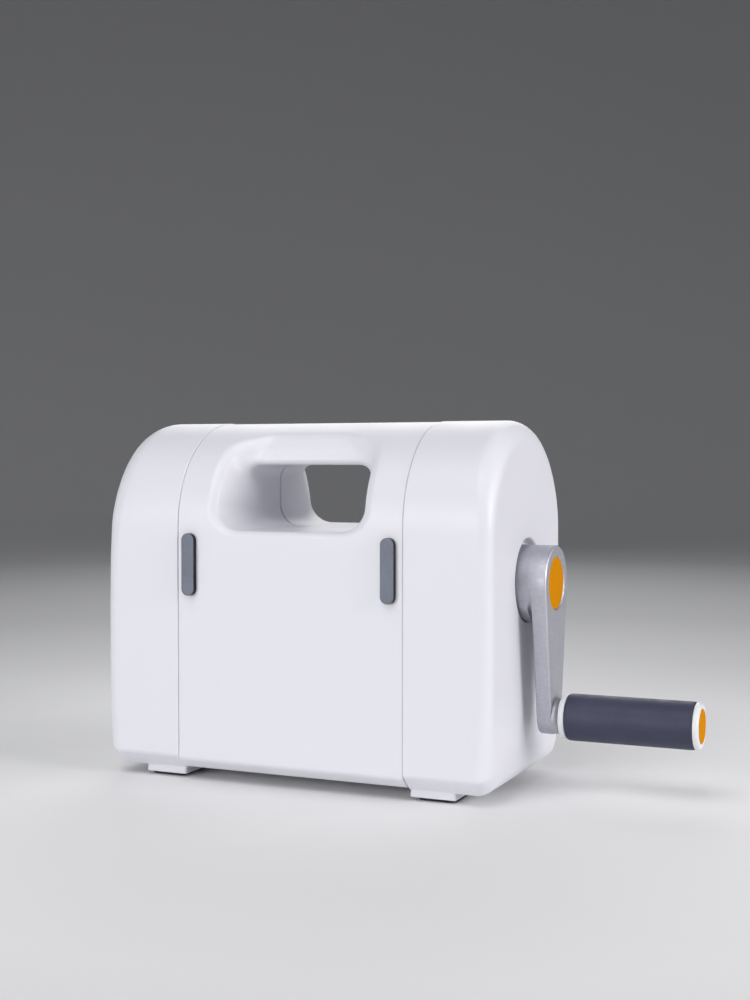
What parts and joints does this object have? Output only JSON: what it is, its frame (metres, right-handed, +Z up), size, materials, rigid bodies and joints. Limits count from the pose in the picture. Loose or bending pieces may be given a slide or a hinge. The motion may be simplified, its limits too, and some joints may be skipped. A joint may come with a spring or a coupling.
{
  "type": "manual die cutting machine",
  "caption": "Compact hand-cranked die cutting machine: two side housings, geared roller pair, fold-down platform doors that close into a carry handle, feet and a side crank.",
  "frame": {"origin": "on the table under the centre of the whole object's box, crank grip included, doors closed", "axes": "+X along the rollers towards the crank, +Y towards the rear door, +Z up"},
  "size_m": [0.2179, 0.087, 0.1336],
  "materials": {
    "white_shell": "satin cool-white moulded plastic",
    "white_matte": "matt white moulded plastic",
    "white_trim": "glossy white plastic",
    "grey_rubber": "blue-grey rubber",
    "slate_sleeve": "slate soft-touch sleeve",
    "foot_rubber": "dark rubber",
    "silver_paint": "fine metallic silver paint",
    "orange_cap": "amber orange plastic",
    "plate_steel": "zinc-plated steel",
    "roller_steel": "ground steel",
    "axle_steel": "ground steel",
    "gear_steel": "sintered steel, oiled",
    "clip_steel": "phosphated spring steel",
    "zinc_screw": "zinc-plated screw",
    "bronze": "sintered bronze",
    "magnet": "nickel-plated"
  },
  "bodies": {
    "frame": {"right_housing": "white_shell", "left_housing": "white_shell", "right_inner_cover": "white_matte", "left_inner_cover": "white_matte", "right_side_plate": "plate_steel", "left_side_plate": "plate_steel", "base_plate": "plate_steel", "tie_rods": "plate_steel", "tie_rod_screws": "zinc_screw", "base_plate_screws": "zinc_screw", "side_plate_screws": "zinc_screw", "inner_cover_screws": "zinc_screw", "foot_pads": "foot_rubber", "roller_bushes": "bronze", "crank_bushes": "bronze", "idler_axle": "axle_steel", "sync_idler_axles": "axle_steel", "axle_clips": "clip_steel", "front_hinge_pins": "axle_steel", "rear_hinge_pins": "axle_steel"},
    "crank": {"crank_pinion": "gear_steel", "crank_shaft": "axle_steel", "crank_shaft_clip": "clip_steel", "crank_arm": "silver_paint", "arm_screw": "zinc_screw", "hub_cap": "orange_cap", "grip_pin": "axle_steel"},
    "grip": {"grip_core": "white_trim", "grip_sleeve": "slate_sleeve", "grip_end_cap": "white_trim", "grip_disc": "orange_cap"},
    "idler": {"idler_gear": "gear_steel"},
    "lower_roller_set": {"lower_roller": "roller_steel", "lower_roller_gear": "gear_steel", "lower_sync_gear": "gear_steel", "lower_roller_clips": "clip_steel"},
    "sync_low": {"sync_idler_low": "gear_steel"},
    "sync_high": {"sync_idler_high": "gear_steel"},
    "upper_roller_set": {"upper_roller": "roller_steel", "upper_sync_gear": "gear_steel", "upper_roller_clips": "clip_steel"},
    "front_door": {"front_door_shell": "white_shell", "front_platform_panel": "white_matte", "front_panel_screws": "zinc_screw", "front_door_pads": "grey_rubber", "front_door_magnets": "magnet"},
    "rear_door": {"rear_door_shell": "white_shell", "rear_platform_panel": "white_matte", "rear_panel_screws": "zinc_screw", "rear_door_pads": "grey_rubber", "rear_door_magnets": "magnet"}
  },
  "joints": [
    {"name": "crank_spin", "type": "hinge", "parent": "frame", "child": "crank", "pos_m": [0.04825, 0, 0.075], "axis": [1, 0, 0], "continuous": true},
    {"name": "grip_spin", "type": "hinge", "parent": "crank", "child": "grip", "pos_m": [0.07825, 0, 0.0271], "axis": [1, 0, 0], "continuous": true},
    {"name": "idler_spin", "type": "hinge", "parent": "frame", "child": "idler", "pos_m": [0.02825, 0, 0.04875], "axis": [1, 0, 0], "continuous": true},
    {"name": "lower_roller_spin", "type": "hinge", "parent": "frame", "child": "lower_roller_set", "pos_m": [-0.03175, 0, 0.021], "axis": [1, 0, 0], "continuous": true},
    {"name": "sync_low_spin", "type": "hinge", "parent": "frame", "child": "sync_low", "pos_m": [-0.09175, -0.00902, 0.03744], "axis": [1, 0, 0], "continuous": true},
    {"name": "sync_high_spin", "type": "hinge", "parent": "frame", "child": "sync_high", "pos_m": [-0.09175, 0.00902, 0.04256], "axis": [1, 0, 0], "continuous": true},
    {"name": "upper_roller_spin", "type": "hinge", "parent": "frame", "child": "upper_roller_set", "pos_m": [-0.03175, 0, 0.059], "axis": [1, 0, 0], "continuous": true},
    {"name": "front_door_hinge", "type": "hinge", "parent": "frame", "child": "front_door", "pos_m": [-0.03175, -0.0333, 0.0102], "axis": [1, 0, 0], "range_deg": [0, 90]},
    {"name": "rear_door_hinge", "type": "hinge", "parent": "frame", "child": "rear_door", "pos_m": [-0.03175, 0.0333, 0.0102], "axis": [-1, 0, 0], "range_deg": [0, 90]}
  ],
  "couplings": [
    {"joint": "idler_spin", "follows": "crank_spin", "ratio": -0.52174},
    {"joint": "lower_roller_spin", "follows": "crank_spin", "ratio": 0.85714},
    {"joint": "sync_low_spin", "follows": "crank_spin", "ratio": -0.85714},
    {"joint": "sync_high_spin", "follows": "crank_spin", "ratio": 0.85714},
    {"joint": "upper_roller_spin", "follows": "crank_spin", "ratio": -0.85714}
  ]
}
